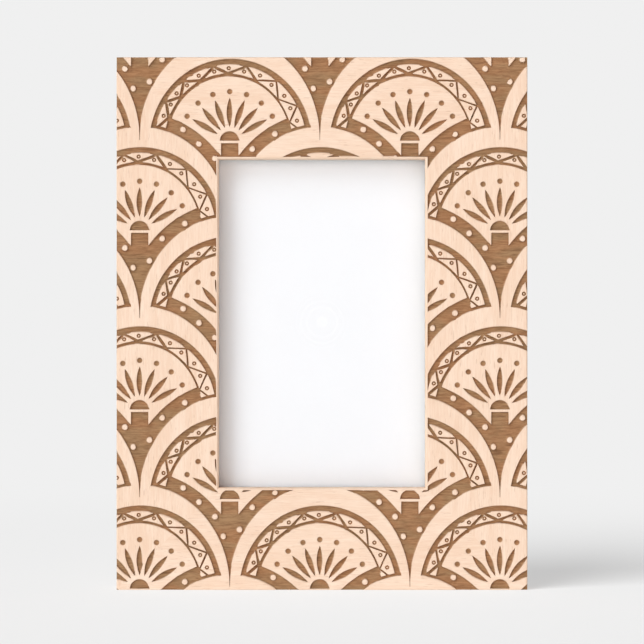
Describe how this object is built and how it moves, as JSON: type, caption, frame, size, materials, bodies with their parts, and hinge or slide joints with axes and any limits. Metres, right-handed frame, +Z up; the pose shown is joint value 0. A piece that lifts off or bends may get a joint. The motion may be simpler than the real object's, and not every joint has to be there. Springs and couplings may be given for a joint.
{
  "type": "picture frame",
  "caption": "Small mitred wooden picture frame with a laser engraved scallop ornament, a lift-out back held by turn buttons, a folding easel leg and sawtooth hangers.",
  "frame": {"origin": "centre of the frame's depth and width at its bottom edge", "axes": "+Z up, the front faces -Y, +X to the right seen from the front; easel leg folded flat"},
  "size_m": [0.172, 0.0211, 0.223],
  "materials": {
    "maple": "fine sanded pale maple, bare, with the engraved ground burnt brown by the laser",
    "fastener_steel": "plain bright steel wire and strip",
    "plated_steel": "nickel plated stamped steel",
    "glazing": "clear acrylic sheet, polished",
    "insert_card": "smooth white uncoated card, blank",
    "greyboard": "plain greyboard",
    "black_board": "fibreboard faced with black embossed paper",
    "bumper_rubber": "soft matt rubber"
  },
  "bodies": {
    "frame": {"top_rail": "maple", "bottom_rail": "maple", "left_stile": "maple", "right_stile": "maple", "corner_v_nails": "fastener_steel", "glazing": "glazing", "insert_card": "insert_card", "filler_board": "greyboard", "back_panel": "black_board", "hinge_fixed_leaf": "plated_steel", "hinge_pin": "fastener_steel", "panel_rivets": "plated_steel", "turn_button_screws": "plated_steel", "portrait_hanger": "plated_steel", "landscape_hanger": "plated_steel", "hanger_nails": "fastener_steel", "wall_bumpers": "bumper_rubber"},
    "leg": {"easel_leg": "black_board", "hinge_leg_leaf": "plated_steel", "leg_rivets": "plated_steel"},
    "button_upper_left": {"turn_button_upper_left": "plated_steel"},
    "button_upper_right": {"turn_button_upper_right": "plated_steel"},
    "button_lower_left": {"turn_button_lower_left": "plated_steel"},
    "button_lower_right": {"turn_button_lower_right": "plated_steel"}
  },
  "joints": [
    {"name": "easel_hinge", "type": "hinge", "parent": "frame", "child": "leg", "pos_m": [0, 0.0101, 0.16], "axis": [1, 0, 0], "range_deg": [0, 26]},
    {"name": "button_upper_left_turn", "type": "hinge", "parent": "frame", "child": "button_upper_left", "pos_m": [-0.06, 0.0081, 0.1575], "axis": [0, 1, 0], "continuous": true},
    {"name": "button_upper_right_turn", "type": "hinge", "parent": "frame", "child": "button_upper_right", "pos_m": [0.06, 0.0081, 0.1575], "axis": [0, 1, 0], "continuous": true},
    {"name": "button_lower_left_turn", "type": "hinge", "parent": "frame", "child": "button_lower_left", "pos_m": [-0.06, 0.0081, 0.0655], "axis": [0, 1, 0], "continuous": true},
    {"name": "button_lower_right_turn", "type": "hinge", "parent": "frame", "child": "button_lower_right", "pos_m": [0.06, 0.0081, 0.0655], "axis": [0, 1, 0], "continuous": true}
  ]
}
